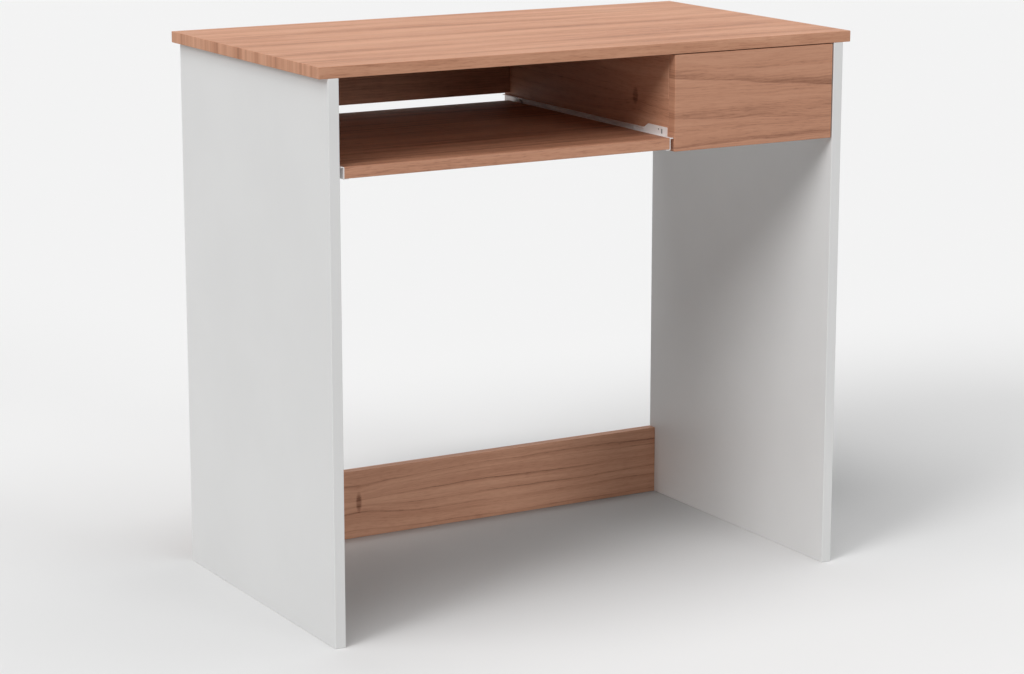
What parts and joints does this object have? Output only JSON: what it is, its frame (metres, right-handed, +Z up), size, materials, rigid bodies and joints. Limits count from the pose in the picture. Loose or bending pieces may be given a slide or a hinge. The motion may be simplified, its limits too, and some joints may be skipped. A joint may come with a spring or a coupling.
{
  "type": "desk",
  "caption": "Flat-pack home-office desk: wood-grain top on white slab sides, pull-out keyboard tray and handle-less drawer on roller slides, rear aprons and a low rear stretcher.",
  "frame": {"origin": "on the floor, below the middle of the tabletop", "axes": "+X to the user's right along the tabletop's length, +Y to the back, +Z up"},
  "size_m": [0.8, 0.45, 0.746],
  "materials": {
    "wood_grain": "satin wood-grain laminate on particle board, red-brown",
    "white_board": "satin white melamine on particle board",
    "drawer_board": "satin white melamine on particle board",
    "drawer_panel": "white-faced hardboard",
    "white_steel": "white epoxy coat on pressed steel",
    "white_nylon": "moulded nylon",
    "zinc_steel": "bright zinc plate",
    "cast_zinc": "die-cast zinc, dull",
    "beech": "bare turned beech"
  },
  "bodies": {
    "carcass": {"tabletop": "wood_grain", "left_side_panel": "white_board", "right_side_panel": "white_board", "divider_panel": "wood_grain", "back_apron": "wood_grain", "drawer_bay_apron": "wood_grain", "lower_stretcher": "wood_grain", "cam_locks": "cast_zinc", "cam_bolts": "zinc_steel", "wood_dowels": "beech", "tray_left_cabinet_rail": "white_steel", "tray_right_cabinet_rail": "white_steel", "drawer_left_cabinet_rail": "white_steel", "drawer_right_cabinet_rail": "white_steel", "cabinet_rail_rivets": "zinc_steel", "cabinet_rail_screws": "zinc_steel"},
    "tray": {"keyboard_tray": "wood_grain", "tray_left_rail": "white_steel", "tray_right_rail": "white_steel", "tray_rail_rivets": "zinc_steel", "tray_rail_screws": "zinc_steel"},
    "drawer": {"drawer_front": "wood_grain", "drawer_box_front": "drawer_board", "drawer_box_back": "drawer_board", "drawer_left_side": "drawer_board", "drawer_right_side": "drawer_board", "drawer_bottom": "drawer_panel", "drawer_left_rail": "white_steel", "drawer_right_rail": "white_steel", "drawer_rail_rivets": "zinc_steel", "drawer_rail_screws": "zinc_steel", "drawer_box_screws": "zinc_steel", "drawer_front_screws": "zinc_steel"},
    "tray_left_cabinet_roller": {"tray_left_cabinet_roller": "white_nylon"},
    "tray_left_rail_roller": {"tray_left_rail_roller": "white_nylon"},
    "tray_right_cabinet_roller": {"tray_right_cabinet_roller": "white_nylon"},
    "tray_right_rail_roller": {"tray_right_rail_roller": "white_nylon"},
    "drawer_left_cabinet_roller": {"drawer_left_cabinet_roller": "white_nylon"},
    "drawer_left_rail_roller": {"drawer_left_rail_roller": "white_nylon"},
    "drawer_right_cabinet_roller": {"drawer_right_cabinet_roller": "white_nylon"},
    "drawer_right_rail_roller": {"drawer_right_rail_roller": "white_nylon"}
  },
  "joints": [
    {"name": "tray_slide", "type": "slide", "parent": "carcass", "child": "tray", "axis": [0, -1, 0], "range_m": [0, 0.3]},
    {"name": "drawer_slide", "type": "slide", "parent": "carcass", "child": "drawer", "axis": [0, -1, 0], "range_m": [0, 0.295]},
    {"name": "tray_left_cabinet_roller_spin", "type": "hinge", "parent": "carcass", "child": "tray_left_cabinet_roller", "pos_m": [-0.36975, -0.198, 0.6135], "axis": [1, 0, 0], "continuous": true},
    {"name": "tray_left_rail_roller_spin", "type": "hinge", "parent": "tray", "child": "tray_left_rail_roller", "pos_m": [-0.36975, 0.178, 0.6152], "axis": [1, 0, 0], "continuous": true},
    {"name": "tray_right_cabinet_roller_spin", "type": "hinge", "parent": "carcass", "child": "tray_right_cabinet_roller", "pos_m": [0.11475, -0.198, 0.6135], "axis": [1, 0, 0], "continuous": true},
    {"name": "tray_right_rail_roller_spin", "type": "hinge", "parent": "tray", "child": "tray_right_rail_roller", "pos_m": [0.11475, 0.178, 0.6152], "axis": [1, 0, 0], "continuous": true},
    {"name": "drawer_left_cabinet_roller_spin", "type": "hinge", "parent": "carcass", "child": "drawer_left_cabinet_roller", "pos_m": [0.13625, -0.198, 0.625], "axis": [1, 0, 0], "continuous": true},
    {"name": "drawer_left_rail_roller_spin", "type": "hinge", "parent": "drawer", "child": "drawer_left_rail_roller", "pos_m": [0.13625, 0.173, 0.6267], "axis": [1, 0, 0], "continuous": true},
    {"name": "drawer_right_cabinet_roller_spin", "type": "hinge", "parent": "carcass", "child": "drawer_right_cabinet_roller", "pos_m": [0.36975, -0.198, 0.625], "axis": [1, 0, 0], "continuous": true},
    {"name": "drawer_right_rail_roller_spin", "type": "hinge", "parent": "drawer", "child": "drawer_right_rail_roller", "pos_m": [0.36975, 0.173, 0.6267], "axis": [1, 0, 0], "continuous": true}
  ],
  "couplings": [
    {"joint": "tray_left_cabinet_roller_spin", "follows": "tray_slide", "rad_per_m": 172.41},
    {"joint": "tray_left_rail_roller_spin", "follows": "tray_slide", "rad_per_m": 105.26},
    {"joint": "tray_right_cabinet_roller_spin", "follows": "tray_slide", "rad_per_m": 172.41},
    {"joint": "tray_right_rail_roller_spin", "follows": "tray_slide", "rad_per_m": 105.26},
    {"joint": "drawer_left_cabinet_roller_spin", "follows": "drawer_slide", "rad_per_m": 172.41},
    {"joint": "drawer_left_rail_roller_spin", "follows": "drawer_slide", "rad_per_m": 105.26},
    {"joint": "drawer_right_cabinet_roller_spin", "follows": "drawer_slide", "rad_per_m": 172.41},
    {"joint": "drawer_right_rail_roller_spin", "follows": "drawer_slide", "rad_per_m": 105.26}
  ]
}
